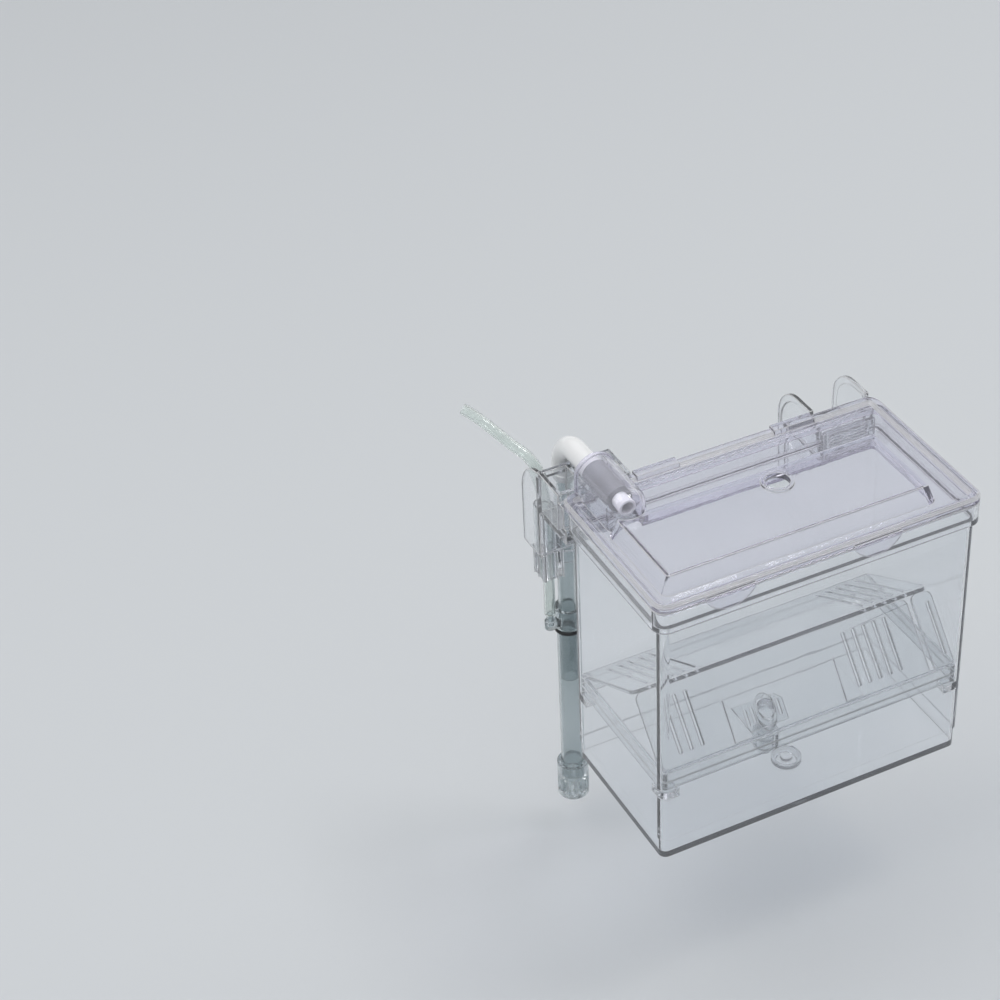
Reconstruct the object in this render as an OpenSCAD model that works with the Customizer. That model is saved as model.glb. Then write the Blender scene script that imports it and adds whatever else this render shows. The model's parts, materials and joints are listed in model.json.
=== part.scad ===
// Hang-on fish breeding box: a clear tank that hangs outside an aquarium's rim.
// An air-driven riser lifts water through a white elbow into the tank, and the
// water runs back over a slotted grille and an open spout.
// All modules are drawn from the lid's front left corner: X along the length,
// Y back towards the aquarium, Z up from the top of the lid's bead. The last
// step moves the origin to the middle of the left rim seat.

/* [Tank] */
// Length of the tank over its rim band
tank_l = 148; // [140:1:190]
// Depth of the tank over its rim band
tank_d = 78; // [74:1:110]
// Height of the tank from its rim to the underside of its floor
tank_h = 130; // [122:1:150]
// Thickness of the clear walls
wall_t = 2.2; // [1.8:0.1:2.6]
// Thickness of the floor
floor_t = 2.5; // [2:0.1:4]
// Height of the stepped band round the rim
band_h = 10; // [8:0.5:13]
// How far the walls are set in from the band
band_step = 2; // [1.6:0.1:2.4]
// Thickness of the band's skin
band_t = 1.8; // [1.4:0.1:2.2]
// Radius of the upright corners
corner_r = 6; // [5.5:0.5:9]
// Height of the set-in foot
foot_h = 10; // [6:0.5:14]
// How far the foot is set in
foot_in = 0.7; // [0.4:0.1:1]

/* [Lid] */
// How far the lid reaches back past the tank
lid_over = 4; // [3:0.5:6]
// Thickness of the lid's skin
lid_t = 1.8; // [1.4:0.1:2.2]
// Width of the bead round the lid
bead_w = 5; // [4:0.5:6.5]
// Height of the bead above the flat of the lid
bead_h = 1.5; // [1.2:0.1:2.5]
// Height of the raised panel above the bead
panel_h = 6; // [4:0.5:9]
// Width of the flat at the panel's left and front
panel_gap = 1.2; // [0.8:0.1:2.5]
// Width of the flat at the panel's right
panel_gap_right = 13; // [8:0.5:20]
// Depth of the raised panel at its foot
panel_d = 46; // [40:1:52]
// Run of the panel's sloping sides
panel_bevel = 3; // [2:0.5:4.5]
// Distance of the feeding hole from the lid's left edge
feed_x = 76; // [50:1:100]
// Distance of the feeding hole from the lid's front edge
feed_y = 40.5; // [24:0.5:42]
// Radius of the feeding hole
feed_r = 5.2; // [4:0.1:7]
// Outer radius of the hood over the elbow
hood_r = 8.5; // [8:0.1:9]
// Depth of the hood from the lid's rear edge to its round front end
hood_d = 34.5; // [32:0.5:36]
// Width of each finger tab on the lid's front
tab_w = 22; // [16:1:26]
// How far a finger tab hangs below the lid
tab_h = 6.5; // [4:0.5:8]

/* [Hooks] */
// Depth of the bridges that rest on the aquarium's rim
bridge_d = 23; // [18:1:30]
// Height from the rim seat up to the top of the lid's bead
seat_drop = 21; // [18:1:26]
// Length of the intake hook along the tank
intake_l = 33; // [30:1:40]
// Thickness of the hooks' walls
hook_t = 2; // [1.6:0.1:2.4]
// Height of the intake hook's leg below the rim seat
intake_leg = 23; // [18:1:34]
// How far the intake hook's cheek stands past the bridge
guard_over = 15; // [14:0.5:18]
// Radius of that cheek's rounded corner
guard_r = 16; // [10:0.5:17]
// Length of the return spout along the tank
return_l = 29; // [28:0.5:34]
// Radius of the spout's rounded cheeks
cheek_r = 14; // [9:0.5:16]
// How far the cheeks stand past the bridge
cheek_over = 6; // [5:0.5:9]
// Height of the spout's leg below the rim seat
return_leg = 25; // [18:1:40]

/* [Riser] */
// Distance of the riser from the tank's left side
riser_x = 16; // [15.5:0.5:18]
// Outer radius of the riser tube
riser_r = 4; // [3.6:0.1:4.2]
// Wall of the riser and the lower tube
tube_t = 1; // [0.8:0.1:1.3]
// Radial clearance of turning and sliding fits
fit = 0.05; // [0.02:0.01:0.1]
// Wall of the elbow
elbow_t = 0.8; // [0.7:0.1:1]
// Bend radius of the elbow
elbow_bend = 13; // [12:0.5:13.5]
// Length of the elbow's level leg in front of the bend
elbow_reach = 24; // [19:0.5:25]
// Height of the elbow's level leg above the lid's bead
elbow_z = 7; // [6.5:0.5:8]
// Length of the turning nozzle
nozzle_l = 8; // [6:0.5:9]
// Depth of the black seal ring below the rim seat
seal_drop = 72; // [66:1:80]
// Length of the lower tube
lower_l = 82; // [60:1:100]
// Outer radius of the strainer
strainer_r = 7; // [6.8:0.1:8]
// Length of the strainer
strainer_l = 18; // [14:1:26]
// Outer radius of the airline
airline_r = 2.4; // [2:0.1:2.8]

/* [Tray] */
// Height of the tray's frame above the tank's underside
tray_up = 36; // [30:1:42]
// Height of the tray's frame
frame_h = 9; // [7:0.5:12]
// Thickness of the tray's plates and frame
plate_t = 2; // [1.6:0.1:2.2]
// Gap between the tray and the tank's walls
tray_gap = 0.6; // [0.4:0.1:1]
// Rise of the tray's ridge above its frame
ridge_h = 24; // [18:0.5:28]
// Distance of the tray's ridge from the tank's front wall
ridge_y = 21; // [18:0.5:26]
// Free width at the right end of the sloping plates
plate_gap_right = 13; // [10:0.5:18]
// Width of the slots
slot_w = 1.3; // [1:0.1:1.6]
// Spacing of the slots
slot_pitch = 5; // [4.5:0.1:6]
// Slots in each group
slot_count = 5; // [3:1:6]
// Radius of the gate's lifting peg
peg_r = 3.6; // [3.2:0.1:3.8]
// Height of the lifting peg
peg_h = 28; // [24:0.5:32]

/* [Outlet] */
// Width of the outlet opening in the rear wall
outlet_w = 21; // [17:0.5:21.5]
// Height of the outlet opening
outlet_h = 11.3; // [8:0.1:11.8]
// Slots in the outlet grille
grille_slots = 6; // [3:1:6]
// Radius of the drain's bore in the floor
drain_r = 4.5; // [3.5:0.1:6]

/* [Hidden] */
$fn = 48;

clear = [0.86, 0.92, 0.94];
white = [0.95, 0.95, 0.93];
smoke = [0.62, 0.68, 0.68];

// Gap left between pieces that come apart, and how far cuts and joins run over
gap = 0.3;
over = 1;

// Levels, from the top of the lid's bead down
z_flat = -bead_h;
z_under = z_flat - lid_t;
z_rim = z_under - gap;
z_band = z_rim - band_h;
z_base = z_rim - tank_h;
z_floor = z_base + floor_t;
z_seat = -seat_drop;
z_tray = z_base + tray_up;
z_frame = z_tray + frame_h;

// Inside of the tank
wall_out = band_step;
wall_in = band_step + wall_t;
inner_r = corner_r - wall_in;
inner_l = tank_l - 2 * wall_in;
inner_d = tank_d - 2 * wall_in;

// Lid
lid_d = tank_d + lid_over;
lip_t = 1.5;
lip_h = 2.4;
lip_gap = 0.4;
bead_step = 0.55;
panel_x = bead_w + panel_gap;
panel_l = tank_l - panel_x - bead_w - panel_gap_right;
panel_foot_r = 4;
panel_y = panel_x + 0.8;
feed_rim_w = 1.6;
feed_rim_h = 1.2;
hood_y = lid_d - hood_d + hood_r;
hood_in = hood_r - 1.5;
tab_t = 0.9;
tabs_x = [31, 97];
rail_x = [[intake_l, 19.5], [97, 19]];
rail_h = 1.2;
rail_d = 4.5;

// Hooks
bridge_y = tank_d + bridge_d;
collar_y = lid_d + 0.4;
well_l = 12;
return_x = tank_l - band_step - return_l;
cheek_top = 0.5;
guard_top = -0.8;
leg_top = -4;

// Riser and airline: the riser stands behind the intake hook's leg
leg_y = bridge_y + hook_t;
elbow_r = riser_r + fit + elbow_t;
riser_y = leg_y + gap + 5.8;
socket_h = 6;
leg_past = 6;
ring_h = 6;
elbow_low = elbow_z - elbow_bend - socket_h;
level_y = riser_y - elbow_bend;
mouth_y = level_y - elbow_reach;
nozzle_r = elbow_r + fit + 0.8;
nozzle_grip = 3.5;
z_seal = z_seat - seal_drop;
seal_r = 1.1;
lower_r = riser_r + fit + tube_t;
inlet_r = riser_r + 2;
inlet_h = 10;
z_inlet = z_seal + seal_r + gap;
overlap_l = 26;
z_lower = z_seal - seal_r - gap;
strainer_grip = 6;
slit_count = 12;
slit_w = 1.4;

// Airline: up the guide, over its top and away to the left
air_x = 6.6;
air_y = leg_y + 4.2;
guide_r = airline_r + 0.5;
guide_t = 1.2;
guide_top = -22;
z_leg = z_seat - intake_leg;
clip_h = 14;
clip_l = 9;
rib_t = 0.7;
rib_pitch = 4;
barb_r = 1.6;
barb_h = 5;
z_barb = z_inlet + inlet_h - 4;
AIR_ROUTE = [[6.6, 107.2, -68], [6.6, 107.2, -46], [6.6, 107.2, -24], [6.6, 107.3, -20],
             [6.3, 107.9, -15.5], [5.7, 109, -11], [4.9, 110.9, -6.8], [3.7, 113.2, -3.8],
             [1.9, 116.2, -1.2], [-1.5, 121, 1.6], [-5.3, 127.6, 5.2], [-8.5, 132.5, 8.2],
             [-11, 136.3, 10.2], [-13.5, 140, 11.6]];

// Tray
frame_x = wall_in + tray_gap;
frame_l = inner_l - 2 * tray_gap;
frame_d = inner_d - 2 * tray_gap;
slope_x = frame_x + 0.4;
slope_l = tank_l - wall_in - plate_gap_right - slope_x;
front_y = frame_x + plate_t;
front_run = ridge_y;
front_len = norm([front_run, ridge_h]);
front_tilt = atan2(ridge_h, front_run);
rear_y = frame_x + frame_d - plate_t;
rear_run = rear_y - front_y - front_run - gap;
rear_h = ridge_h - 0.5;
rear_len = norm([rear_run, rear_h]);
rear_tilt = atan2(rear_h, rear_run);
slot_end = 5;
fin_w = 8;
fin_len = 18;
fin_t = 1.2;
left_slots = 9;
right_slots = slope_l - 12.5 - (slot_count - 1) * slot_pitch;
left_fin = left_slots + slot_count * slot_pitch - 2;
right_fin = right_slots - fin_w - 0.6;
end_x = slope_x + slope_l + 2.2;
end_l = frame_x + frame_l - 0.4 - end_x;
plate_r = 3;
peg_x = 54.5;
peg_y = front_y + 4.6;
gate_right = 8;
gate_len = 12;
gate_low = 2.5;
gate_end = 3.3;
pad_w = 7;
pad_h = 4;

// Outlet
grille_t = 2;
grille_edge = 2.2;
corner_gap = gap + inner_r - sqrt(pow(inner_r, 2) - pow(inner_r - gap, 2));
outlet_x = tank_l - wall_in - grille_edge - corner_gap - outlet_w;
grille_top = 1.2;
z_outlet = z_under - lip_h - gap - grille_top - outlet_h;
plug_head_r = drain_r + 2;
drain_x = 76;
drain_y = 28;

// Outline of a rounded rectangle with its corner at the origin
module round_rect(l, d, r) {
    translate([r, 0]) square([l - 2 * r, d]);
    translate([0, r]) square([l, d - 2 * r]);
    for (x = [r, l - r], y = [r, d - r]) translate([x, y]) circle(r = r);
}

// Block with rounded upright edges, set in by a margin from the outline
module round_block(l, d, r, h, inset = 0) {
    translate([inset, inset, 0])
        linear_extrude(h) round_rect(l - 2 * inset, d - 2 * inset, max(r - inset, 0.4));
}

// Upright tube
module pipe(r_out, r_in, h) {
    difference() {
        cylinder(r = r_out, h = h);
        translate([0, 0, -over]) cylinder(r = r_in, h = h + 2 * over);
    }
}

// Slot with round ends that runs along Y through a plate
module slot(len, w, deep) {
    translate([-w / 2, 0, 0]) cube([w, len, deep]);
    for (y = [0, len]) translate([0, y, 0]) cylinder(d = w, h = deep, $fn = 20);
}

module tank() {
    color(clear, 0.4) {
        difference() {
            union() {
                translate([0, 0, z_band]) round_block(tank_l, tank_d, corner_r, band_h);
                translate([0, 0, z_base + foot_h])
                    round_block(tank_l, tank_d, corner_r, tank_h - foot_h, wall_out);
                translate([0, 0, z_base])
                    round_block(tank_l, tank_d, corner_r, foot_h + over, wall_out + foot_in);
            }
            translate([0, 0, z_band + band_t])
                round_block(tank_l, tank_d, corner_r, band_h, band_t);
            translate([0, 0, z_floor]) round_block(tank_l, tank_d, corner_r, tank_h, wall_in);
            translate([outlet_x, tank_d - wall_in - over, z_outlet])
                cube([outlet_w, wall_in + 2 * over, outlet_h]);
            translate([drain_x, drain_y, z_base - over]) cylinder(r = drain_r, h = floor_t + 2 * over);
        }
        tray_pads();
    }
}

// Four pads in the tank's corners carry the tray
module tray_pads() {
    for (x = [wall_in - wall_t / 4, tank_l - wall_in + wall_t / 4 - pad_w],
         y = [wall_in - wall_t / 4, tank_d - wall_in + wall_t / 4 - pad_w])
        translate([x, y, z_tray - gap - pad_h]) cube([pad_w, pad_w, pad_h]);
}

// Rounded cheek that stands past the bridge, drawn in Y and Z
module guard_shape() {
    back = bridge_y + guard_over;
    translate([bridge_y - guard_r, z_leg]) square([guard_over, guard_top - z_leg]);
    translate([back - guard_r, guard_top - guard_r]) circle(r = guard_r);
    translate([back - guard_r, z_leg]) square([guard_r, guard_top - guard_r - z_leg]);
}

module intake_hook() {
    wells = [[hook_t, well_l - hook_t], [well_l + hook_t, intake_l - well_l - 2 * hook_t]];
    color(clear, 0.4) {
        difference() {
            union() {
                translate([0, tank_d, z_seat]) cube([intake_l, bridge_d, z_rim - z_seat]);
                translate([0, collar_y, z_seat]) cube([intake_l, bridge_y - collar_y, -z_seat]);
                translate([0, tank_d - wall_out, z_seat]) cube([intake_l, wall_out, z_band - z_seat]);
            }
            for (w = wells) translate([w[0], collar_y + hook_t, z_seat + hook_t])
                cube([w[1], bridge_y - collar_y - 2 * hook_t, seat_drop]);
        }
        translate([0, bridge_y, z_leg]) cube([riser_x + leg_past, hook_t, leg_top - z_leg]);
        rotate([90, 0, 90]) linear_extrude(hook_t) intersection() {
            guard_shape();
            translate([bridge_y - over, z_leg]) square([2 * guard_over, -z_leg]);
        }
    }
}

// Side outline of the return hook's cheek, in Y and Z
module cheek_shape(inset = 0) {
    back = bridge_y + cheek_over - inset;
    top = cheek_top - inset;
    low = z_seat - return_leg + inset;
    translate([collar_y + inset, z_seat + inset])
        square([back - cheek_r - collar_y - inset, top - z_seat - inset]);
    translate([back - cheek_r, top - cheek_r]) circle(r = cheek_r);
    translate([back - cheek_r, z_seat + inset]) square([cheek_r, top - cheek_r - z_seat - inset]);
    translate([bridge_y + inset, low]) square([back - bridge_y - inset, z_seat + 2 * inset - low]);
}

module cheek() {
    rotate([90, 0, 90]) {
        linear_extrude(hook_t) cheek_shape();
        linear_extrude(hook_t) translate([tank_d, z_seat]) square([collar_y - tank_d, z_rim - z_seat]);
        linear_extrude(hook_t) translate([tank_d - wall_out, z_seat])
            square([wall_out, z_band - z_seat]);
    }
}

module return_hook() {
    right_x = return_x + return_l - hook_t;
    color(clear, 0.4) {
        difference() {
            union() {
                translate([return_x, 0, 0]) cheek();
                translate([right_x, 0, 0]) cheek();
            }
            // The outer face of each cheek is sunk inside a raised rim
            for (x = [return_x - over, right_x + hook_t - 0.6]) translate([x, 0, 0])
                rotate([90, 0, 90]) linear_extrude(over + 0.6) intersection() {
                    cheek_shape(2.4);
                    translate([0, z_seat + 2.4]) square([2 * bridge_y, seat_drop]);
                }
        }
        translate([return_x, tank_d, z_seat]) cube([return_l, bridge_d + hook_t, hook_t]);
        translate([return_x, bridge_y, z_seat - return_leg])
            cube([return_l, hook_t, return_leg + hook_t]);
        translate([return_x, tank_d - wall_out, z_seat])
            cube([return_l, wall_out, z_outlet - z_seat - gap]);
    }
}

// Sleeve for the airline: square in front, round behind
module airline_guide() {
    low = z_leg + 0.5;
    color(clear, 0.5) translate([0, 0, low]) difference() {
        union() {
            translate([air_x - guide_r - guide_t, leg_y, 0])
                cube([2 * (guide_r + guide_t), air_y - leg_y, guide_top - low]);
            translate([air_x, air_y, 0]) cylinder(r = guide_r + guide_t, h = guide_top - low);
        }
        translate([air_x, air_y, -over]) cylinder(r = guide_r, h = guide_top - low + 2 * over);
    }
}

// Ribbed clip under the leg, with a ring that steadies the riser
module tube_clip() {
    left = air_x - clip_l / 2;
    front = bridge_y + rib_t;
    color(clear, 0.5) translate([0, 0, z_leg - gap - clip_h]) difference() {
        union() {
            translate([left, front, 0]) cube([clip_l, air_y + guide_r + guide_t - front, clip_h]);
            for (i = [0:3]) translate([left + i * (clip_l - rib_t) / 3, bridge_y, 0])
                cube([rib_t, 2 * rib_t, clip_h]);
            for (i = [0:2]) translate([left - rib_t, front + i * rib_pitch, 0])
                cube([2 * rib_t, rib_t, clip_h]);
            translate([riser_x, riser_y, (clip_h - ring_h) / 2])
                cylinder(r = riser_r + gap + guide_t, h = ring_h);
            translate([air_x + guide_r, riser_y - ring_h / 2, (clip_h - ring_h) / 2])
                cube([riser_x - air_x - guide_r, ring_h, ring_h]);
        }
        translate([air_x, air_y, -over]) cylinder(r = guide_r, h = clip_h + 2 * over);
        translate([riser_x, riser_y, -over]) cylinder(r = riser_r + gap, h = clip_h + 2 * over);
    }
}

module riser_tube() {
    color(smoke, 0.5) translate([riser_x, riser_y, z_lower - overlap_l])
        pipe(riser_r, riser_r - tube_t, elbow_low + socket_h - gap - z_lower + overlap_l);
}

// Collar with a hollow barb that takes the airline
module air_inlet() {
    reach = riser_x - air_x;
    color(smoke, 0.6) difference() {
        union() {
            translate([riser_x, riser_y, z_inlet]) cylinder(r = inlet_r, h = inlet_h);
            translate([air_x, air_y, z_barb - 3]) cylinder(r = barb_r + 0.9, h = 4);
            translate([air_x, air_y - 1.5, z_barb - 3]) cube([reach - riser_r - 0.5, 3, 3.4]);
            translate([air_x, air_y, z_barb]) cylinder(r = barb_r, h = barb_h);
        }
        translate([riser_x, riser_y, z_inlet - over]) cylinder(r = riser_r + 0.02, h = inlet_h + 2 * over);
        translate([air_x, air_y, z_barb - 1.5]) cylinder(r = barb_r - 0.7, h = barb_h + 2 * over);
    }
}

module seal_ring() {
    color([0.06, 0.06, 0.07]) translate([riser_x, riser_y, z_seal])
        rotate_extrude() translate([riser_r + seal_r + 0.02, 0]) circle(r = seal_r, $fn = 24);
}

// Tube swept through the route's points: one ring of corners at each point
module swept_tube(route, r, sides) {
    n = len(route);
    dir = [for (i = [0:n - 1]) unit(route[min(i + 1, n - 1)] - route[max(i - 1, 0)])];
    points = [for (i = [0:n - 1]) let (a = unit(cross(dir[i], [0.35, 0.2, 0.9])), b = cross(dir[i], a))
        for (k = [0:sides - 1]) route[i] + r * (a * cos(360 * k / sides) + b * sin(360 * k / sides))];
    faces = [for (i = [0:n - 2]) for (k = [0:sides - 1])
        [i * sides + k, i * sides + (k + 1) % sides,
         (i + 1) * sides + (k + 1) % sides, (i + 1) * sides + k]];
    low = [for (k = [sides - 1:-1:0]) k];
    high = [for (k = [0:sides - 1]) (n - 1) * sides + k];
    polyhedron(points = points, faces = concat(faces, [low], [high]));
}

function unit(v) = v / norm(v);

// Points on a smooth curve through the hand-set route
function curve_at(p, i, t) = let (n = len(p), a = p[max(i - 1, 0)], b = p[i], c = p[i + 1],
    d = p[min(i + 2, n - 1)])
    0.5 * (2 * b + (c - a) * t + (2 * a - 5 * b + 4 * c - d) * t * t
        + (3 * b - a - 3 * c + d) * t * t * t);
function smooth_route(p, steps) = concat([for (i = [0:len(p) - 2]) for (s = [0:steps - 1])
    curve_at(p, i, s / steps)], [p[len(p) - 1]]);

module airline() {
    start = [[air_x, air_y, z_barb + barb_h]];
    color([0.8, 0.88, 0.86], 0.6) swept_tube(smooth_route(concat(start, AIR_ROUTE), 2), airline_r, 8);
}

// Solid of the raised panel: a rounded foot that slopes in to its top
module panel_solid(z_low, z_high, inset) {
    hull() {
        translate([panel_x, panel_y, z_low])
            round_block(panel_l, panel_d, panel_foot_r, 0.01, inset, $fn = 32);
        translate([panel_x, panel_y, z_high - 0.01])
            round_block(panel_l, panel_d, panel_foot_r, 0.01, inset + panel_bevel, $fn = 32);
    }
}

// Solid of the hood: a half-round tunnel with a domed front end
module hood_solid(r, z_low) {
    translate([riser_x, 0, 0]) {
        translate([0, hood_y, elbow_z]) rotate([-90, 0, 0]) cylinder(r = r, h = lid_d - hood_y);
        translate([0, hood_y, elbow_z]) sphere(r = r);
        translate([0, hood_y, z_low]) cylinder(r = r, h = elbow_z - z_low);
        translate([-r, hood_y, z_low]) cube([2 * r, lid_d - hood_y, elbow_z - z_low]);
    }
}

module lid_bead() {
    for (i = [0:2]) translate([0, 0, z_flat]) difference() {
        round_block(tank_l, lid_d, corner_r, bead_h * (i + 1) / 3, i * bead_step);
        translate([0, 0, -over])
            round_block(tank_l, lid_d, corner_r, bead_h + 2 * over, bead_w - i * bead_step);
    }
}

// Lip that drops inside the band and keeps the lid in place
module lid_lip() {
    translate([0, 0, z_under - lip_h]) difference() {
        round_block(tank_l, tank_d, corner_r, lip_h + lid_t / 2, band_t + lip_gap);
        translate([0, 0, -over])
            round_block(tank_l, tank_d, corner_r, lip_h + lid_t + over, band_t + lip_gap + lip_t);
    }
}

// Half-moon finger tab in front of the band
module finger_tab(x) {
    r = (tab_w * tab_w / 4 + tab_h * tab_h) / (2 * tab_h);
    translate([x, -tab_t - gap, z_under - tab_h + r]) rotate([-90, 0, 0]) intersection() {
        cylinder(r = r, h = tab_t, $fn = 96);
        translate([-tab_w / 2, r - tab_h, 0]) cube([tab_w, tab_h, tab_t]);
    }
    translate([x - tab_w / 2, -tab_t - gap, z_under]) cube([tab_w, tab_t + gap + bead_w, lid_t]);
}

module lid() {
    color(clear, 0.35) difference() {
        union() {
            translate([0, 0, z_under]) round_block(tank_l, lid_d, corner_r, lid_t);
            lid_bead();
            lid_lip();
            panel_solid(z_flat, panel_h, 0);
            hood_solid(hood_r, z_flat);
            for (x = tabs_x) finger_tab(x);
            for (r = rail_x) translate([r[0], lid_d - bead_step - rail_d, z_flat])
                cube([r[1], rail_d, bead_h + rail_h]);
            translate([feed_x, feed_y, 0]) cylinder(r = feed_r + feed_rim_w, h = panel_h + feed_rim_h);
        }
        panel_solid(z_under - 0.01, panel_h - lid_t, lid_t);
        hood_solid(hood_in, z_under - lip_h - over);
        translate([riser_x - hood_in, hood_y, z_under - lip_h - over])
            cube([2 * hood_in, lid_d, elbow_z - z_under + lip_h + over]);
        translate([riser_x, lid_d - over, elbow_z]) rotate([-90, 0, 0]) cylinder(r = hood_in, h = 3);
        translate([feed_x, feed_y, z_under - over])
            cylinder(r = feed_r, h = panel_h + feed_rim_h - z_under + 2 * over);
    }
}

// Elbow: an upright socket on the riser, a quarter bend and a level leg
module elbow_run(r) {
    translate([riser_x, level_y, elbow_z - elbow_bend]) rotate([90, 0, 90])
        rotate_extrude(angle = 90) translate([elbow_bend, 0]) circle(r = r);
    translate([riser_x, riser_y, elbow_low]) cylinder(r = r, h = elbow_z - elbow_bend - elbow_low + 0.01);
    translate([riser_x, mouth_y, elbow_z]) rotate([-90, 0, 0]) cylinder(r = r, h = elbow_reach + 0.01);
}

module elbow() {
    bore = riser_r + fit;
    color(white) difference() {
        union() {
            elbow_run(elbow_r);
            translate([riser_x, riser_y, elbow_low]) cylinder(r = elbow_r + 0.5, h = 3);
        }
        elbow_run(bore);
        translate([riser_x, riser_y, elbow_low - over]) cylinder(r = bore, h = 2 * over);
        translate([riser_x, mouth_y - over, elbow_z]) rotate([-90, 0, 0]) cylinder(r = bore, h = 2 * over);
    }
}

// Nozzle that turns on the elbow's mouth and throws the water to one side
module flow_nozzle() {
    color(smoke, 0.6) translate([riser_x, mouth_y + nozzle_grip, elbow_z]) rotate([90, 0, 0])
        difference() {
            cylinder(r = nozzle_r, h = nozzle_l);
            translate([0, 0, -over]) cylinder(r = elbow_r + fit, h = nozzle_grip + over + gap);
            cylinder(r = riser_r - 0.2, h = nozzle_l + over);
            translate([-2 * nozzle_r, -nozzle_r, nozzle_l]) rotate([-30, 0, 0])
                cube([4 * nozzle_r, 4 * nozzle_r, nozzle_l]);
        }
}

module lower_tube() {
    color(smoke, 0.5) translate([riser_x, riser_y, z_lower - lower_l])
        pipe(lower_r, riser_r + fit, lower_l);
}

// Slotted cup over the end of the lower tube
module intake_strainer() {
    bottom = z_lower - lower_l + strainer_grip - strainer_l;
    color(smoke, 0.7) translate([riser_x, riser_y, bottom]) difference() {
        cylinder(r = strainer_r, h = strainer_l);
        translate([0, 0, strainer_l - strainer_grip - gap])
            cylinder(r = lower_r + fit, h = strainer_grip + gap + over);
        translate([0, 0, 1.5]) cylinder(r = lower_r - tube_t, h = strainer_l);
        for (i = [0:slit_count - 1]) rotate(360 * i / slit_count)
            translate([lower_r - tube_t - 1, -slit_w / 2, 2.5])
                cube([strainer_r, slit_w, strainer_l - strainer_grip - 5]);
        for (i = [0:5]) rotate(60 * i + 15) translate([lower_r / 2, 0, -over]) cylinder(r = 0.8, h = 4);
    }
}

module tray_frame() {
    color(clear, 0.5) translate([0, 0, z_tray]) difference() {
        union() {
            difference() {
                translate([frame_x, frame_x, 0]) linear_extrude(frame_h)
                    round_rect(frame_l, frame_d, max(inner_r - tray_gap, 0.6));
                translate([frame_x + plate_t, frame_x + plate_t, -over])
                    linear_extrude(frame_h + 2 * over)
                    square([frame_l - 2 * plate_t, frame_d - 2 * plate_t]);
            }
            translate([peg_x, peg_y, 0]) cylinder(r = peg_r + fit + 1.8, h = frame_h - 2.5);
        }
        translate([peg_x, peg_y, -over]) cylinder(r = peg_r + fit, h = frame_h + 2 * over);
        // A groove runs round the outside of the frame
        translate([0, 0, frame_h / 2]) difference() {
            translate([0, 0, -0.4]) cube([tank_l, tank_d, 0.8]);
            translate([frame_x + 0.4, frame_x + 0.4, -over])
                cube([frame_l - 0.8, frame_d - 0.8, 2 * over]);
        }
    }
}

// Sloping plate with round upper corners
module slope_plate(l, len) {
    linear_extrude(plate_t) {
        square([l, len - plate_r]);
        translate([plate_r, 0]) square([l - 2 * plate_r, len]);
        for (x = [plate_r, l - plate_r]) translate([x, len - plate_r]) circle(r = plate_r);
    }
}

// Group of slots across a sloping plate, starting at a given place
module slot_group(x, count, len) {
    for (i = [0:count - 1]) translate([x + i * slot_pitch, slot_end, -over])
        slot(len - 2 * slot_end, slot_w, plate_t + 2 * over);
}

// Puts what is drawn flat onto the front slope of the tray
module on_front_slope(x) {
    translate([x, front_y, z_frame]) rotate([front_tilt, 0, 0]) children();
}

module front_slope() {
    color(clear, 0.5) difference() {
        on_front_slope(slope_x) {
            difference() {
                slope_plate(slope_l, front_len);
                slot_group(left_slots, slot_count - 2, front_len);
                slot_group(right_slots, slot_count, front_len);
            }
            for (x = [left_fin, right_fin]) translate([x, 0.5, plate_t]) linear_extrude(fin_t)
                polygon([[0, 0], [fin_w, 0], [0.4, fin_len]]);
        }
        translate([peg_x, peg_y, z_tray]) cylinder(r = peg_r + 0.8, h = peg_h + frame_h);
    }
}

// Narrow plate that carries the front slope on to the tray's right end
module end_slope() {
    color(clear, 0.5) on_front_slope(end_x) difference() {
        slope_plate(end_l, front_len);
        slot_group(end_l - 3, 1, front_len);
    }
}

module rear_slope() {
    l = frame_l - 0.8;
    color(clear, 0.5) translate([slope_x, rear_y, z_frame]) mirror([0, 1, 0])
        rotate([rear_tilt, 0, 0]) difference() {
            slope_plate(l, rear_len);
            slot_group(left_slots, slot_count, rear_len);
            slot_group(l - 9 - (slot_count - 1) * slot_pitch, slot_count, rear_len);
        }
}

// Small slotted gate that lies on the front slope round the peg, beside the left fin
module gate_panel() {
    high = gate_low + gate_len;
    foot_x = left_fin + fin_w + 0.9;
    lean = (fin_w - 0.4) / fin_len;
    right = peg_x - slope_x + gate_right;
    color(clear, 0.6) difference() {
        on_front_slope(slope_x) translate([0, 0, plate_t + gap + 0.1]) difference() {
            linear_extrude(1.4) polygon([[foot_x - lean * gate_low, gate_low], [right, gate_low],
                [right, high - 3], [right - 3, high], [foot_x - lean * high, high]]);
            for (x = [foot_x - 1, foot_x + 2, right - 2.5]) translate([x, gate_low + gate_end, -over])
                slot(gate_len - 2 * gate_end, slot_w, 2 * plate_t);
        }
        translate([peg_x, peg_y, z_tray]) cylinder(r = peg_r + 0.02, h = peg_h + frame_h);
    }
}

// Round-ended peg that guides the gate in the frame and lifts it
module gate_peg() {
    low = z_tray - 6;
    color(clear, 0.6) translate([peg_x, peg_y, low]) {
        translate([0, 0, peg_r]) cylinder(r = peg_r, h = peg_h - 2 * peg_r);
        for (z = [peg_r, peg_h - peg_r]) translate([0, 0, z]) sphere(r = peg_r);
    }
}

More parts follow.
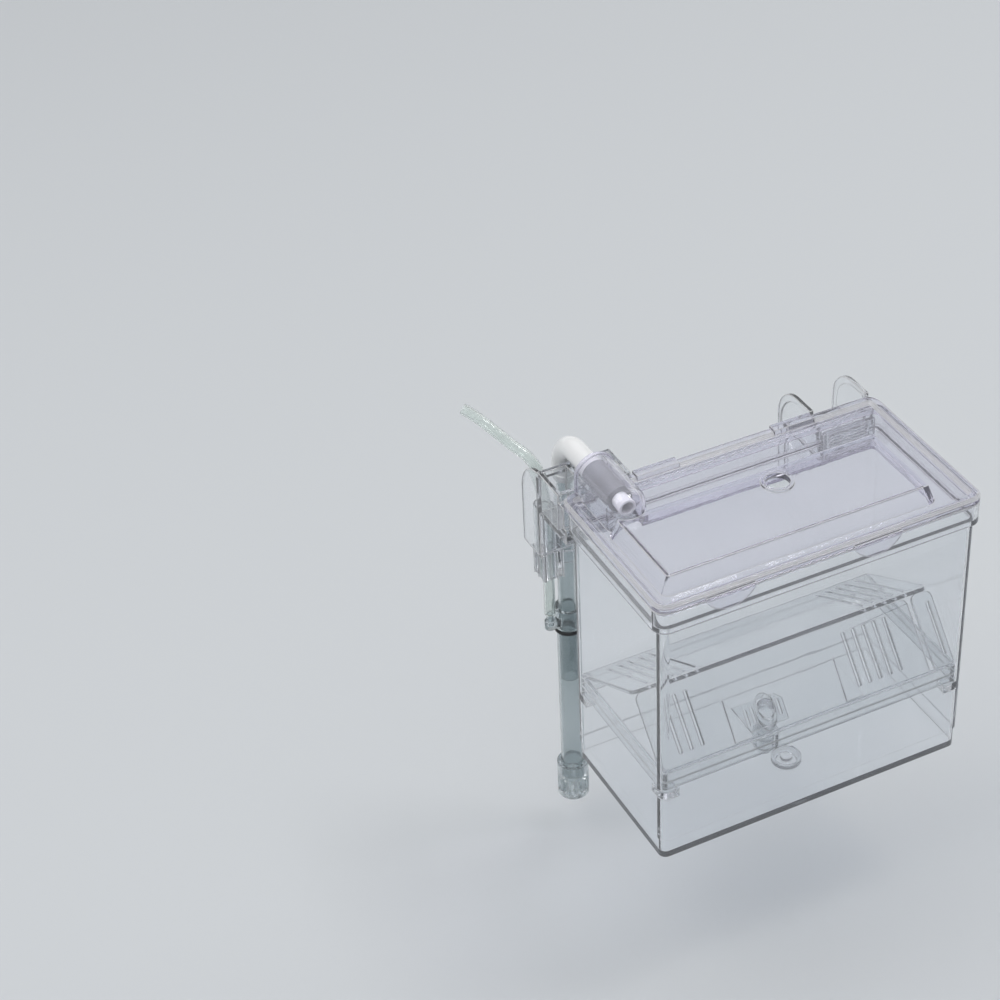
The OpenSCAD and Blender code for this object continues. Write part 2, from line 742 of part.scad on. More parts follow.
// Slotted grille that presses into the outlet from inside
module outlet_grille() {
    pitch = (outlet_h - 1.5) / grille_slots;
    color(clear, 0.6) translate([0, tank_d - wall_in - gap, 0]) difference() {
        union() {
            translate([outlet_x - grille_edge, -grille_t, z_outlet - grille_edge])
                cube([outlet_w + 2 * grille_edge, grille_t, outlet_h + grille_edge + grille_top]);
            translate([outlet_x + gap, -0.01, z_outlet + gap])
                cube([outlet_w - 2 * gap, gap + wall_t - 0.2, outlet_h - 2 * gap]);
        }
        for (i = [0:grille_slots - 1])
            translate([outlet_x + 1.6, -grille_t - over, z_outlet + 1.2 + i * pitch])
                cube([outlet_w - 3.2, grille_t + wall_t + 2 * over, pitch - 1]);
    }
}

// Stopper in the floor's drain, with a low round grip
module drain_plug() {
    color(clear, 0.6) translate([drain_x, drain_y, z_base + 0.4]) {
        cylinder(r = drain_r - fit, h = floor_t - 0.4 + gap + 0.01);
        translate([0, 0, floor_t - 0.4 + gap]) difference() {
            cylinder(r = plug_head_r, h = 2.4);
            translate([0, 0, 1]) pipe(plug_head_r - 1.2, drain_r - 2, 3);
        }
    }
}

// Moves the origin to the middle of the left rim seat
module from_seat() {
    translate([-intake_l / 2, -tank_d - bridge_d / 2, seat_drop]) children();
}

from_seat() tank();
from_seat() intake_hook();
from_seat() return_hook();
from_seat() airline_guide();
from_seat() tube_clip();
from_seat() riser_tube();
from_seat() air_inlet();
from_seat() seal_ring();
from_seat() airline();
from_seat() lid();
from_seat() elbow();
from_seat() flow_nozzle();
from_seat() lower_tube();
from_seat() intake_strainer();
from_seat() tray_frame();
from_seat() front_slope();
from_seat() end_slope();
from_seat() rear_slope();
from_seat() gate_panel();
from_seat() gate_peg();
from_seat() outlet_grille();
from_seat() drain_plug();
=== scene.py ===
import json
import math

import bpy
import bmesh
from mathutils import Matrix, Vector

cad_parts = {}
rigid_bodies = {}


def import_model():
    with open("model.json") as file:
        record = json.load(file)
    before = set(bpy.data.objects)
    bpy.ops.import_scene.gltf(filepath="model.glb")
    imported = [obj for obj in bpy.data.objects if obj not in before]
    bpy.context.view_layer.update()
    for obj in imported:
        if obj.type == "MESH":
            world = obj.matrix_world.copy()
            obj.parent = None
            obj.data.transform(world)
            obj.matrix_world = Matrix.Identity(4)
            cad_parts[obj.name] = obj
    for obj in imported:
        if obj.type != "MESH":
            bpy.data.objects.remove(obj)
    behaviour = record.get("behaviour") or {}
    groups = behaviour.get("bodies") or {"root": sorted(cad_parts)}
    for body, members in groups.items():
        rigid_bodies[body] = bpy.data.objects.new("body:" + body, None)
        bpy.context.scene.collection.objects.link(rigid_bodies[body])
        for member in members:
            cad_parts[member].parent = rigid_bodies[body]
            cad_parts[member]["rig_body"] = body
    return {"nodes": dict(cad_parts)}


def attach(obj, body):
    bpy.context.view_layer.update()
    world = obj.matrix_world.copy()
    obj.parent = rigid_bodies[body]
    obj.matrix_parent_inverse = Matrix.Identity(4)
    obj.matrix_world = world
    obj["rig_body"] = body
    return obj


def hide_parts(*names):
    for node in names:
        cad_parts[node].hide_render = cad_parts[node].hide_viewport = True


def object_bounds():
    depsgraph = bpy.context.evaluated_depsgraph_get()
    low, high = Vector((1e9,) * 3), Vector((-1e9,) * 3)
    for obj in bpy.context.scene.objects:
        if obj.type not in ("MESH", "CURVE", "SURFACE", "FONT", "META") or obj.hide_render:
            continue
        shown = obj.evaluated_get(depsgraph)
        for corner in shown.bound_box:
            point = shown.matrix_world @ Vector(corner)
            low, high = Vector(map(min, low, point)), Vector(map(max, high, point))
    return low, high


MM = 0.001

# How every hard edge is rounded: its steps, the fold it starts at, and the fold left smooth in degrees
EDGE_STEPS = 3
HARD_EDGE = math.radians(30)
SMOOTH_BELOW = 42
# Gap left between touching pieces, in millimetres
HAIR = 0.08


def at(x, y, z):
    """A point given in millimetres from the lid's front left corner, in the row frame in metres."""
    return Vector(((x - 16.5) * MM, (y - 89.5) * MM, (z + 21.0) * MM))


# ---------------------------------------------------------------- camera

def make_camera():
    """The camera that fits the lid's and the tank's edges."""
    turn, down, roll = math.radians(-26.71), math.radians(37.02), math.radians(-1.56)
    ahead = Vector((-math.sin(turn) * math.cos(down), math.cos(turn) * math.cos(down), -math.sin(down)))
    right = Vector((math.cos(turn), math.sin(turn), 0.0))
    up = right.cross(ahead)
    side = math.cos(roll) * right + math.sin(roll) * up
    top = math.cos(roll) * up - math.sin(roll) * right
    data = bpy.data.cameras.new("camera")
    data.sensor_width = 36.0
    data.lens = 91.33
    data.shift_x = -0.0822
    data.shift_y = 0.0056
    data.clip_start, data.clip_end = 0.01, 50.0
    camera = bpy.data.objects.new("camera", data)
    bpy.context.scene.collection.objects.link(camera)
    camera.matrix_world = Matrix((
        (side.x, top.x, -ahead.x, -0.3702),
        (side.y, top.y, -ahead.y, -0.7314),
        (side.z, top.z, -ahead.z, 0.6236),
        (0.0, 0.0, 0.0, 1.0)))
    bpy.context.scene.camera = camera


# ---------------------------------------------------------------- airline

# The airline's route from its barb, in millimetres from the lid's corner
AIRLINE_START = (6.6, 107.2, -80.6)
AIRLINE_ROUTE = [
    (6.6, 107.2, -68), (6.6, 107.2, -46), (6.6, 107.2, -24), (6.6, 107.3, -20),
    (6.3, 107.9, -15.5), (5.7, 109, -11), (4.9, 110.9, -6.8), (3.7, 113.2, -3.8),
    (1.9, 116.2, -1.2), (-1.5, 121, 1.6), (-5.3, 127.6, 5.2), (-8.5, 132.5, 8.2),
    (-11, 136.3, 10.2), (-13.5, 140, 11.6)]
AIRLINE_RADIUS = 2.4 * MM
AIRLINE_BORE = 1.62 * MM


def smooth_points(points, steps):
    """Points on a smooth curve through the given ones."""
    made = []
    last = len(points) - 1
    for i in range(last):
        a, b = points[max(i - 1, 0)], points[i]
        c, d = points[i + 1], points[min(i + 2, last)]
        for s in range(steps):
            t = s / steps
            made.append(0.5 * (2 * b + (c - a) * t + (2 * a - 5 * b + 4 * c - d) * t * t
                               + (3 * b - a - 3 * c + d) * t ** 3))
    made.append(points[last])
    return made


def tube_rings(route, radius, sides):
    """Rings of points round the route, turned as little as possible from one to the next."""
    rings = []
    across = Vector((1.0, 0.0, 0.0))
    for i, centre in enumerate(route):
        ahead = (route[min(i + 1, len(route) - 1)] - route[max(i - 1, 0)]).normalized()
        across = (across - ahead * across.dot(ahead)).normalized()
        other = ahead.cross(across)
        rings.append([centre + radius * (across * math.cos(2 * math.pi * k / sides)
                                         + other * math.sin(2 * math.pi * k / sides))
                      for k in range(sides)])
    return rings


def make_airline():
    """The soft air tube with its bore, cut square at the far end."""
    points = [at(*AIRLINE_START)] + [at(*p) for p in AIRLINE_ROUTE]
    route = smooth_points(points, 4)
    sides = 32
    outer = tube_rings(route, AIRLINE_RADIUS, sides)
    inner = tube_rings(route, AIRLINE_BORE, sides)
    mesh = bmesh.new()
    rows = [[mesh.verts.new(p) for p in ring] for ring in outer]
    bores = [[mesh.verts.new(p) for p in ring] for ring in inner]
    for i in range(len(route) - 1):
        for k in range(sides):
            n = (k + 1) % sides
            mesh.faces.new((rows[i][k], rows[i][n], rows[i + 1][n], rows[i + 1][k]))
            mesh.faces.new((bores[i][n], bores[i][k], bores[i + 1][k], bores[i + 1][n]))
    for k in range(sides):
        n = (k + 1) % sides
        mesh.faces.new((rows[0][n], rows[0][k], bores[0][k], bores[0][n]))
        mesh.faces.new((rows[-1][k], rows[-1][n], bores[-1][n], bores[-1][k]))
    bmesh.ops.recalc_face_normals(mesh, faces=mesh.faces)
    data = bpy.data.meshes.new("air_tube")
    mesh.to_mesh(data)
    mesh.free()
    tube = bpy.data.objects.new("air_tube", data)
    bpy.context.scene.collection.objects.link(tube)
    smooth_by_angle(tube, 40)
    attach(tube, "box")
    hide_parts("airline")
    return tube


# ---------------------------------------------------------------- small helpers

def only(piece):
    """Selects one object and makes it the active one."""
    bpy.ops.object.select_all(action="DESELECT")
    piece.select_set(True)
    bpy.context.view_layer.objects.active = piece


def smooth_by_angle(piece, degrees):
    """Shades a piece smooth but for its folds sharper than the angle."""
    only(piece)
    bpy.ops.object.shade_smooth_by_angle(angle=math.radians(degrees))


def link(tree, source, out, target, into):
    """Joins an output of one node to an input of another."""
    tree.links.new(source.outputs[out], target.inputs[into])


def node(tree, kind, x, y, **values):
    """Adds a node at a place and sets its own values."""
    made = tree.nodes.new(kind)
    made.location = (x, y)
    for name, value in values.items():
        setattr(made, name, value)
    return made


# ---------------------------------------------------------------- moulded pieces

# Each moulding: the CAD node it stands for, the radius of its edges in millimetres and its material
MOULDINGS = [
    ("tank_shell", "tank", 0.32, "tank"), ("intake_bridge", "intake_hook", 0.32, "tank"),
    ("return_spout", "return_hook", 0.28, "tank"), ("airline_sleeve", "airline_guide", 0.2, "tank"),
    ("riser_clip", "tube_clip", 0.15, "tank"), ("drain_stopper", "drain_plug", 0.2, "tank"),
    ("lid_moulding", "lid", 0.2, "lid"), ("tray_rim", "tray_frame", 0.25, "tray"),
    ("front_plate", "front_slope", 0.2, "tray"), ("end_plate", "end_slope", 0.2, "tray"),
    ("rear_plate", "rear_slope", 0.2, "tray"), ("gate_plate", "gate_panel", 0.15, "tray"),
    ("gate_pin", "gate_peg", 0.0, "tray"), ("overflow_grille", "outlet_grille", 0.15, "tray"),
    ("riser_pipe", "riser_tube", 0.2, "smoke"), ("inlet_collar", "air_inlet", 0.2, "smoke"),
    ("lower_pipe", "lower_tube", 0.2, "smoke"),
    ("strainer_cup", "intake_strainer", 0.18, "smoke"), ("white_elbow", "elbow", 0.2, "white"),
    ("black_ring", "seal_ring", 0.0, "black"),
]
# Finishes whose rounded edges get a paler, less clear copy of their plastic: a painted highlight along every
# edge
PAINTED_HIGHLIGHT_FINISHES = ("tank", "lid", "tray")
# Pieces that touch the tank or the leg, with the depths between which their touching faces lie
TOUCHING = {"intake_bridge": (75.9, 78.1), "return_spout": (75.9, 78.1), "airline_sleeve": (102.9, 103.1)}


def round_edges(piece, radius, finish=-1):
    """Rounds every hard edge of a moulding, as the mould's own edges are."""
    only(piece)
    bpy.ops.object.mode_set(mode="EDIT")
    bpy.ops.mesh.select_all(action="SELECT")
    bpy.ops.mesh.remove_doubles(threshold=1e-6)
    bpy.ops.mesh.dissolve_limited(angle_limit=math.radians(0.4), use_dissolve_boundaries=False)
    if radius > 0:
        bpy.ops.mesh.select_all(action="DESELECT")
        bpy.ops.mesh.select_mode(type="EDGE")
        shape = bmesh.from_edit_mesh(piece.data)
        for edge in shape.edges:
            edge.select = len(edge.link_faces) == 2 and edge.calc_face_angle(0) > HARD_EDGE
        shape.select_flush_mode()
        bmesh.update_edit_mesh(piece.data)
        # The bevel faces take material slot finish; on the clear finishes that slot holds the paler edge
        # plastic, a painted highlight
        bpy.ops.mesh.bevel(offset=radius * MM, offset_type="OFFSET", segments=EDGE_STEPS, profile=0.5,
                           affect="EDGES", clamp_overlap=False, loop_slide=True, material=finish)
        bpy.ops.mesh.select_all(action="SELECT")
        bpy.ops.mesh.remove_doubles(threshold=2e-6)
    bpy.ops.object.mode_set(mode="OBJECT")
    bpy.ops.object.shade_smooth_by_angle(angle=math.radians(SMOOTH_BELOW))
    weigh = piece.modifiers.new("even_normals", "WEIGHTED_NORMAL")
    weigh.mode = "FACE_AREA"
    weigh.weight = 80
    weigh.keep_sharp = True
    bpy.ops.object.modifier_apply(modifier=weigh.name)


def lift_off(piece, low, high):
    """Moves the faces that touch a neighbour back by a hair, so that light can pass between the two."""
    front, back = at(0, low, 0).y, at(0, high, 0).y
    only(piece)
    bpy.ops.object.mode_set(mode="EDIT")
    bpy.ops.mesh.select_mode(type="VERT")
    bpy.ops.mesh.select_all(action="DESELECT")
    shape = bmesh.from_edit_mesh(piece.data)
    for vertex in shape.verts:
        vertex.select = front <= vertex.co.y <= back
    shape.select_flush_mode()
    bmesh.update_edit_mesh(piece.data)
    bpy.ops.transform.translate(value=(0, HAIR * MM, 0))
    bpy.ops.object.mode_set(mode="OBJECT")


def make_mouldings(nodes, materials):
    """A finished piece with rounded edges for each moulding of the frame."""
    for name, cad_name, radius, finish in MOULDINGS:
        source = nodes[cad_name]
        piece = bpy.data.objects.new(name, source.data.copy())
        piece.data.name = name
        bpy.context.scene.collection.objects.link(piece)
        if name in TOUCHING:
            lift_off(piece, *TOUCHING[name])
        paint(piece, materials[finish])
        if finish in PAINTED_HIGHLIGHT_FINISHES:
            # The rounded edges get the paler edge plastic: a painted highlight along each edge
            piece.data.materials.append(materials["edge"])
            round_edges(piece, radius, 1)
        else:
            round_edges(piece, radius)
        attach(piece, source["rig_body"])
        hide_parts(cad_name)


# ---------------------------------------------------------------- turned parts and the hood's rim

# X and Z of the waterway's axis over the lid, in millimetres
WATERWAY = (16.0, 7.0)
# How far the rim's feet reach below that axis
FOOT_DROP = 9.2


def turned_part(name, profile, edge_radius):
    """A part turned round the waterway's axis; the profile gives (Y, radius) in millimetres."""
    x, z = WATERWAY
    (y, radius), rest = profile[0], profile[1:]
    bpy.ops.object.select_all(action="DESELECT")
    bpy.ops.mesh.primitive_circle_add(vertices=56, radius=radius * MM, fill_type="NOTHING",
                                      location=at(x, y, z), rotation=(math.pi / 2, 0, 0))
    part = bpy.context.active_object
    part.name = part.data.name = name
    bpy.ops.object.transform_apply(location=True, rotation=True, scale=True)
    bpy.ops.object.mode_set(mode="EDIT")
    bpy.ops.mesh.select_mode(type="EDGE")
    bpy.ops.mesh.select_all(action="SELECT")
    for next_y, next_radius in rest + [profile[0]]:
        bpy.ops.mesh.extrude_region_move(
            TRANSFORM_OT_translate={"value": (0, (next_y - y) * MM, 0)})
        if next_radius != radius:
            grow = next_radius / radius
            bpy.ops.transform.resize(value=(grow, 1, grow), center_override=at(x, next_y, z))
        y, radius = next_y, next_radius
    bpy.ops.mesh.select_all(action="SELECT")
    bpy.ops.mesh.remove_doubles(threshold=1e-5)
    bpy.ops.mesh.normals_make_consistent(inside=False)
    bpy.ops.object.mode_set(mode="OBJECT")
    round_edges(part, edge_radius)
    return part


def make_waterway(materials):
    """The grey nozzle that turns on the elbow's mouth, and a white tip pressed into it, which stands where the
    hood's front shows a bright lamp reflection: a painted reflection.
    """
    nozzle = turned_part("spray_nozzle", [(80.0, 5.7), (59.6, 5.7), (59.6, 3.8), (71.8, 3.8), (71.8, 4.9),
                                          (80.0, 4.9)], 0.25)
    paint(nozzle, materials["nozzle"])
    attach(nozzle, "nozzle")
    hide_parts("flow_nozzle")
    # White tip at the hood's front: a painted reflection of a lamp in the hood's dome
    reflection_tip = turned_part("painted_reflection_tip", [(62.0, 3.72), (53.4, 3.72), (53.4, 2.5), (62.0, 2.5)], 0.4)
    paint(reflection_tip, materials["white"])
    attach(reflection_tip, "nozzle")


def make_hood_rim(materials):
    """The rolled rim round the hood's rear opening, with its two feet on the lid."""
    x, z = WATERWAY
    centre = at(x, 80.85, z)
    bpy.ops.object.select_all(action="DESELECT")
    bpy.ops.mesh.primitive_torus_add(location=centre, rotation=(math.pi / 2, 0, 0), major_radius=8.25 * MM,
                                     minor_radius=1.1 * MM, major_segments=64, minor_segments=20)
    rim = bpy.context.active_object
    rim.name = rim.data.name = "hood_rim"
    bpy.ops.object.transform_apply(location=True, rotation=True, scale=True)
    bpy.ops.object.mode_set(mode="EDIT")
    bpy.ops.mesh.select_mode(type="FACE")
    bpy.ops.mesh.select_all(action="SELECT")
    bpy.ops.mesh.bisect(plane_co=centre + Vector((0, 0, 1e-5)), plane_no=(0, 0, 1), use_fill=True,
                        clear_inner=True)
    shape = bmesh.from_edit_mesh(rim.data)
    for face in shape.faces:
        face.select_set(face.normal.z < -0.95 and face.calc_center_median().z < centre.z + 5e-5)
    bmesh.update_edit_mesh(rim.data)
    bpy.ops.mesh.extrude_region_move(TRANSFORM_OT_translate={"value": (0, 0, -FOOT_DROP * MM)})
    bpy.ops.mesh.select_all(action="SELECT")
    bpy.ops.mesh.normals_make_consistent(inside=False)
    bpy.ops.object.mode_set(mode="OBJECT")
    smooth_by_angle(rim, 50)
    paint(rim, materials["lid"])
    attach(rim, "lid")


# ---------------------------------------------------------------- shared effects

def make_ripple_group():
    """Slow waves left by the flow of the plastic in the mould, as a height."""
    group = bpy.data.node_groups.new("mould_ripple", "ShaderNodeTree")
    group.interface.new_socket("Size", in_out="INPUT", socket_type="NodeSocketFloat").default_value = 60.0
    group.interface.new_socket("Fine share", in_out="INPUT", socket_type="NodeSocketFloat").default_value = 0.2
    group.interface.new_socket("Height", in_out="OUTPUT", socket_type="NodeSocketFloat")
    start = node(group, "NodeGroupInput", -800, 0)
    end = node(group, "NodeGroupOutput", 500, 0)
    place = node(group, "ShaderNodeTexCoord", -800, -200)
    slow = node(group, "ShaderNodeTexNoise", -500, 100)
    slow.inputs["Detail"].default_value = 2.0
    slow.inputs["Roughness"].default_value = 0.4
    slow.inputs["Distortion"].default_value = 0.6
    fast = node(group, "ShaderNodeTexNoise", -500, -200)
    fast.inputs["Detail"].default_value = 1.0
    finer = node(group, "ShaderNodeMath", -650, -350, operation="MULTIPLY")
    finer.inputs[1].default_value = 9.0
    mix = node(group, "ShaderNodeMath", -100, 0, operation="MULTIPLY_ADD")
    link(group, place, "Object", slow, "Vector")
    link(group, place, "Object", fast, "Vector")
    link(group, start, "Size", slow, "Scale")
    link(group, start, "Size", finer, 0)
    link(group, finer, 0, fast, "Scale")
    link(group, fast, "Fac", mix, 0)
    link(group, start, "Fine share", mix, 1)
    link(group, slow, "Fac", mix, 2)
    link(group, mix, 0, end, "Height")
    return group


def make_haze_group():
    """Rubbed patches and fine hairline scratches, as a roughness."""
    group = bpy.data.node_groups.new("rubbed_haze", "ShaderNodeTree")
    for name, value in (("Clean", 0.02), ("Hazy", 0.12), ("Scratches", 0.1)):
        group.interface.new_socket(name, in_out="INPUT", socket_type="NodeSocketFloat").default_value = value
    group.interface.new_socket("Roughness", in_out="OUTPUT", socket_type="NodeSocketFloat")
    start = node(group, "NodeGroupInput", -900, 0)
    end = node(group, "NodeGroupOutput", 700, 0)
    place = node(group, "ShaderNodeTexCoord", -900, -200)
    patches = node(group, "ShaderNodeTexNoise", -600, 200)
    patches.inputs["Scale"].default_value = 38.0
    patches.inputs["Detail"].default_value = 5.0
    patches.inputs["Roughness"].default_value = 0.6
    levels = node(group, "ShaderNodeMapRange", -350, 200)
    levels.inputs["From Min"].default_value = 0.48
    levels.inputs["From Max"].default_value = 0.78
    lean = node(group, "ShaderNodeMapping", -700, -200)
    lean.inputs["Rotation"].default_value = (0.4, 0.25, 0.7)
    lean.inputs["Scale"].default_value = (900.0, 40.0, 60.0)
    hairs = node(group, "ShaderNodeTexNoise", -450, -200)
    hairs.inputs["Scale"].default_value = 1.0
    hairs.inputs["Detail"].default_value = 2.0
    thin = node(group, "ShaderNodeMapRange", -200, -200)
    thin.inputs["From Min"].default_value = 0.66
    thin.inputs["From Max"].default_value = 0.74
    body = node(group, "ShaderNodeMapRange", 50, 200)
    add = node(group, "ShaderNodeMath", 350, 0, operation="MULTIPLY_ADD")
    link(group, place, "Object", patches, "Vector")
    link(group, place, "Object", lean, "Vector")
    link(group, lean, "Vector", hairs, "Vector")
    link(group, patches, "Fac", levels, "Value")
    link(group, hairs, "Fac", thin, "Value")
    link(group, levels, "Result", body, "Value")
    link(group, start, "Clean", body, "To Min")
    link(group, start, "Hazy", body, "To Max")
    link(group, thin, "Result", add, 0)
    link(group, start, "Scratches", add, 1)
    link(group, body, "Result", add, 2)
    link(group, add, 0, end, "Roughness")
    return group


def make_tint_group():
    """A colour that drifts a little between two tones over the moulding."""
    group = bpy.data.node_groups.new("tone_drift", "ShaderNodeTree")
    group.interface.new_socket("Tone", in_out="INPUT", socket_type="NodeSocketColor")
    group.interface.new_socket("Other tone", in_out="INPUT", socket_type="NodeSocketColor")
    group.interface.new_socket("Size", in_out="INPUT", socket_type="NodeSocketFloat").default_value = 30.0
    group.interface.new_socket("Color", in_out="OUTPUT", socket_type="NodeSocketColor")
    start = node(group, "NodeGroupInput", -700, 0)
    end = node(group, "NodeGroupOutput", 400, 0)
    place = node(group, "ShaderNodeTexCoord", -700, -200)
    cloud = node(group, "ShaderNodeTexNoise", -450, -100)
    cloud.inputs["Detail"].default_value = 3.0
    spread = node(group, "ShaderNodeMapRange", -200, -100)
    spread.inputs["From Min"].default_value = 0.3
    spread.inputs["From Max"].default_value = 0.7
    mix = node(group, "ShaderNodeMix", 100, 0, data_type="RGBA")
    link(group, place, "Object", cloud, "Vector")
    link(group, start, "Size", cloud, "Scale")
    link(group, cloud, "Fac", spread, "Value")
    link(group, spread, "Result", mix, 0)
    link(group, start, "Tone", mix, 6)
    link(group, start, "Other tone", mix, 7)
    link(group, mix, 2, end, "Color")
    return group


def place_group(tree, group, x, y, **values):
    """Places a shared effect in a material with that material's own values."""
    made = node(tree, "ShaderNodeGroup", x, y)
    made.node_tree = group
    for name, value in values.items():
        made.inputs[name.replace("_", " ")].default_value = value
    return made


# ---------------------------------------------------------------- materials

# The shared effects, filled before the first material is made
EFFECTS = {}


def new_material(name):
    """An empty material with its shader and its output."""
    material = bpy.data.materials.new(name)
    material.use_nodes = True
    tree = material.node_tree
    tree.nodes.clear()
    out = node(tree, "ShaderNodeOutputMaterial", 900, 0)
    shader = node(tree, "ShaderNodeBsdfPrincipled", 400, 0)
    return material, tree, shader, out


def surface_detail(tree, shader, tones, tone_size, ripple, haze):
    """Feeds colour, roughness and normal of a shader from the shared effects."""
    tint = place_group(tree, EFFECTS["tint"], 0, 300, Tone=(*tones[0], 1), Other_tone=(*tones[1], 1),
                       Size=tone_size)
    link(tree, tint, "Color", shader, "Base Color")
    rub = place_group(tree, EFFECTS["haze"], 0, 0, Clean=haze[0], Hazy=haze[1], Scratches=haze[2])
    link(tree, rub, "Roughness", shader, "Roughness")
    wave = place_group(tree, EFFECTS["ripple"], -200, -300, Size=ripple[0], Fine_share=ripple[1])
    bump = node(tree, "ShaderNodeBump", 100, -300)
    bump.inputs["Strength"].default_value = ripple[2]
    bump.inputs["Distance"].default_value = ripple[3]
    link(tree, wave, "Height", bump, "Height")
    link(tree, bump, "Normal", shader, "Normal")


def let_lamps_through(tree, shader, out, shade):
    """Lamps shine through the plastic, so that what it holds is lit and its shadow stays light."""
    ray = node(tree, "ShaderNodeLightPath", 400, 300)
    clear = node(tree, "ShaderNodeBsdfTransparent", 400, -500)
    clear.inputs["Color"].default_value = (*shade, 1)
    mix = node(tree, "ShaderNodeMixShader", 700, 0)
    link(tree, ray, "Is Shadow Ray", mix, 0)
    link(tree, shader, 0, mix, 1)
    link(tree, clear, 0, mix, 2)
    link(tree, mix, 0, out, "Surface")


def edge_tint(tree, out, tone, density):
    """Thick edges, seen along the wall, take on a faint tint."""
    absorb = node(tree, "ShaderNodeVolumeAbsorption", 400, -700)
    absorb.inputs["Color"].default_value = (*tone, 1)
    absorb.inputs["Density"].default_value = density
    link(tree, absorb, 0, out, "Volume")


def clear_plastic(name, tones, haze, ripple, shade, clearness=0.955, tone=(0.58, 0.61, 0.68), depth=16.0):
    """Glass-clear moulded plastic."""
    material, tree, shader, out = new_material(name)
    shader.inputs["Transmission Weight"].default_value = clearness
    shader.inputs["IOR"].default_value = 1.49
    surface_detail(tree, shader, tones, 22.0, ripple, haze)
    let_lamps_through(tree, shader, out, shade)
    edge_tint(tree, out, tone, depth)
    return material


def white_plastic():
    """Glossy white plastic of the elbow."""
    material, tree, shader, out = new_material("white_elbow_plastic")
    shader.inputs["Coat Weight"].default_value = 0.7
    shader.inputs["Coat Roughness"].default_value = 0.05
    shader.inputs["Subsurface Weight"].default_value = 0.15
    shader.inputs["Subsurface Radius"].default_value = (0.004, 0.004, 0.004)
    shader.inputs["Subsurface Scale"].default_value = 0.5
    surface_detail(tree, shader, ((0.9, 0.9, 0.9), (0.86, 0.865, 0.87)), 60.0,
                   (90.0, 0.3, 0.12, 0.0004), (0.22, 0.34, 0.1))
    link(tree, shader, 0, out, "Surface")
    return material


def black_rubber():
    """Matt black rubber of the ring under the air inlet."""
    material, tree, shader, out = new_material("black_ring_rubber")
    surface_detail(tree, shader, ((0.012, 0.012, 0.013), (0.03, 0.03, 0.032)), 300.0,
                   (900.0, 0.5, 0.3, 0.0001), (0.5, 0.7, 0.05))
    link(tree, shader, 0, out, "Surface")
    return material


def soft_vinyl():
    """Soft air tube, clear with a grey-green cast."""
    material, tree, shader, out = new_material("soft_air_tube")
    shader.inputs["Transmission Weight"].default_value = 0.93
    shader.inputs["IOR"].default_value = 1.47
    surface_detail(tree, shader, ((0.88, 0.915, 0.9), (0.83, 0.87, 0.85)), 40.0,
                   (120.0, 0.2, 0.15, 0.0004), (0.03, 0.12, 0.08))
    let_lamps_through(tree, shader, out, (0.84, 0.87, 0.85))
    return material


def make_materials():
    """Every finish of the box, by its short name."""
    EFFECTS["ripple"] = make_ripple_group()
    EFFECTS["haze"] = make_haze_group()
    EFFECTS["tint"] = make_tint_group()
    calm = (26.0, 0.02, 0.22, 0.0006)
    wavy = (34.0, 0.05, 0.4, 0.0008)
    return {
        "tank": clear_plastic("clear_tank_plastic", ((0.965, 0.975, 0.985), (0.94, 0.955, 0.97)),
                              (0.0, 0.05, 0.05), calm, (0.9, 0.91, 0.93)),
        "lid": clear_plastic("clear_lid_plastic", ((0.95, 0.945, 0.985), (0.925, 0.92, 0.965)),
                             (0.0, 0.05, 0.06), wavy, (0.92, 0.92, 0.95), tone=(0.6, 0.56, 0.84), depth=26.0),
        # Paler and less clear than the faces, for the rounded edges only: a painted highlight along each edge
        "edge": clear_plastic("clear_plastic_painted_edge_highlight", ((0.97, 0.968, 0.985), (0.95, 0.95, 0.965)),
                              (0.05, 0.16, 0.06), calm, (0.9, 0.91, 0.93), clearness=0.42),
        "tray": clear_plastic("clear_tray_plastic", ((0.93, 0.945, 0.95), (0.88, 0.9, 0.91)),
                              (0.03, 0.14, 0.08), calm, (0.88, 0.9, 0.91)),
        "smoke": clear_plastic("grey_tube_plastic", ((0.74, 0.78, 0.79), (0.66, 0.71, 0.72)),
                               (0.06, 0.2, 0.06), calm, (0.75, 0.79, 0.8)),
        "nozzle": clear_plastic("grey_nozzle_plastic", ((0.5, 0.51, 0.52), (0.43, 0.44, 0.45)),
                                (0.12, 0.25, 0.06), calm, (0.6, 0.62, 0.63), clearness=0.6),
        "white": white_plastic(),
        "black": black_rubber(),
        "vinyl": soft_vinyl(),
    }


def paint(piece, material):
    """Gives a piece one material and no other."""
    piece.data.materials.clear()
    piece.data.materials.append(material)


# ---------------------------------------------------------------- studio

# How far the intake slides down at its joint's limit; the floor lies below that
INTAKE_REACH = 0.018


def make_floor():
    """Plain pale floor under the intake's lowest reach."""
    low = cad_low.z - INTAKE_REACH - 0.0006
    bpy.ops.object.select_all(action="DESELECT")
    bpy.ops.mesh.primitive_plane_add(size=8.0, location=(0.05, -0.05, low))
    floor = bpy.context.active_object
    floor.name = "floor"
    material = bpy.data.materials.new("pale_floor")
    material.use_nodes = True
    tree = material.node_tree
    shader = tree.nodes["Principled BSDF"]
    shader.inputs["Base Color"].default_value = (0.61, 0.63, 0.65, 1)
    shader.inputs["Roughness"].default_value = 0.9
    paint(floor, material)


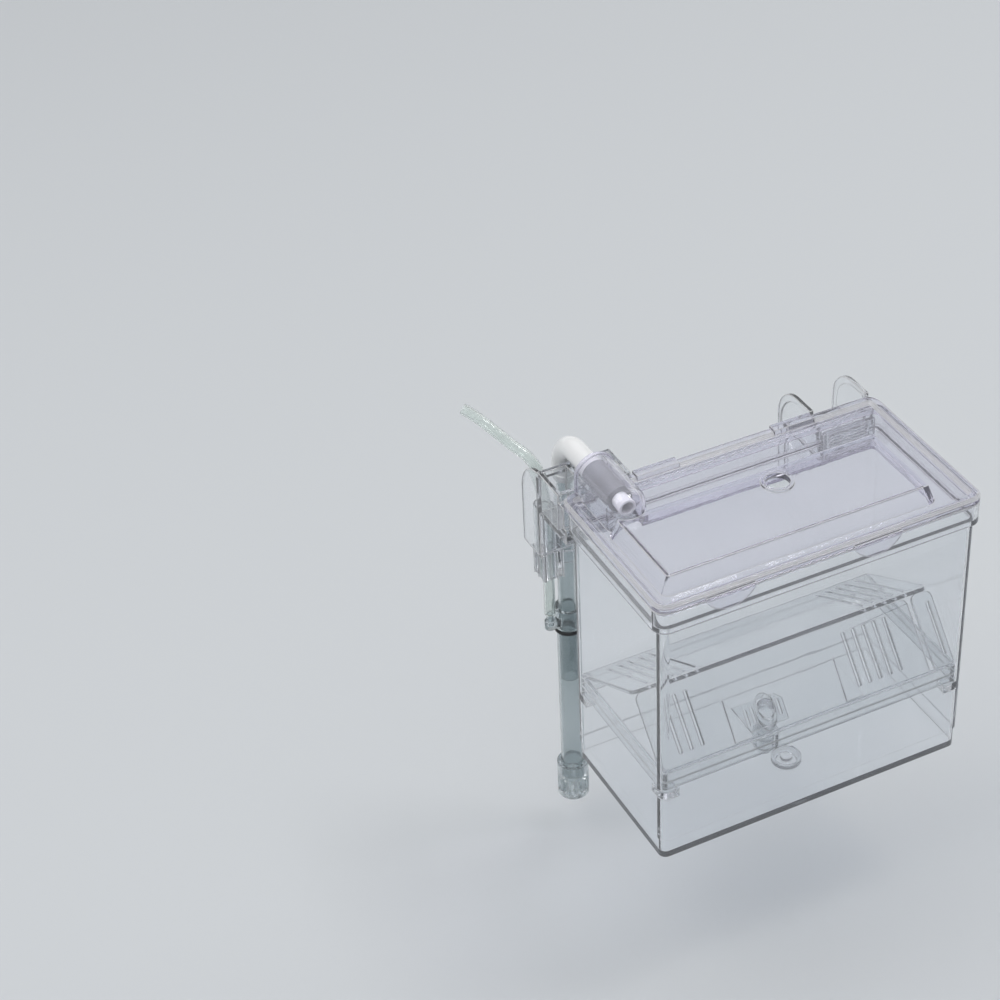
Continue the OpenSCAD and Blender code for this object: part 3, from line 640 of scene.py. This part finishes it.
def make_surround():
    """Pale surround at eye level, dark between and bright overhead."""
    world = bpy.data.worlds.new("studio")
    bpy.context.scene.world = world
    world.use_nodes = True
    tree = world.node_tree
    tree.nodes.clear()
    out = node(tree, "ShaderNodeOutputWorld", 600, 0)
    sky = node(tree, "ShaderNodeBackground", 300, 0)
    place = node(tree, "ShaderNodeTexCoord", -600, 0)
    split = node(tree, "ShaderNodeSeparateXYZ", -400, 0)
    ramp = node(tree, "ShaderNodeValToRGB", -150, 0)
    # Brightness at each height
    heights = ((0.0, 0.8), (0.12, 0.8), (0.2, 0.2), (0.5, 0.24), (0.66, 0.5), (0.8, 0.92), (1.0, 1.0))
    while len(ramp.color_ramp.elements) < len(heights):
        ramp.color_ramp.elements.new(0.5)
    for stop, (height, level) in zip(ramp.color_ramp.elements, heights):
        stop.position = height
        stop.color = (level * 0.97, level * 0.985, level, 1)
    link(tree, place, "Generated", split, 0)
    link(tree, split, "Z", ramp, "Fac")
    link(tree, ramp, "Color", sky, "Color")
    sky.inputs["Strength"].default_value = 1.0
    link(tree, sky, 0, out, "Surface")


def make_lamps():
    """Three soft lamps, turned to the middle of the box."""
    middle = (0.05, -0.05, -0.03)
    for name, place_at, size, power in (
            ("key_lamp", (-1.0, 0.2, 1.3), 1.3, 8.5),
            ("back_lamp", (1.4, 0.5, 1.0), 1.2, 5.0),
            ("top_lamp", (0.52, -0.26, 1.25), 0.3, 3.0)):
        data = bpy.data.lights.new(name, "AREA")
        data.shape = "SQUARE"
        data.size = size
        data.energy = power
        lamp = bpy.data.objects.new(name, data)
        bpy.context.scene.collection.objects.link(lamp)
        lamp.location = place_at
        lamp.rotation_mode = "QUATERNION"
        lamp.rotation_quaternion = (Vector(middle) - Vector(place_at)).to_track_quat("-Z", "Y")


# ---------------------------------------------------------------- the whole box

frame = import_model()
cad_low, cad_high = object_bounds()
make_camera()
airline = make_airline()
materials = make_materials()
make_mouldings(frame["nodes"], materials)
make_waterway(materials)
make_hood_rim(materials)
paint(airline, materials["vinyl"])
make_floor()
make_surround()
make_lamps()
bpy.context.scene.view_settings.view_transform = "Standard"
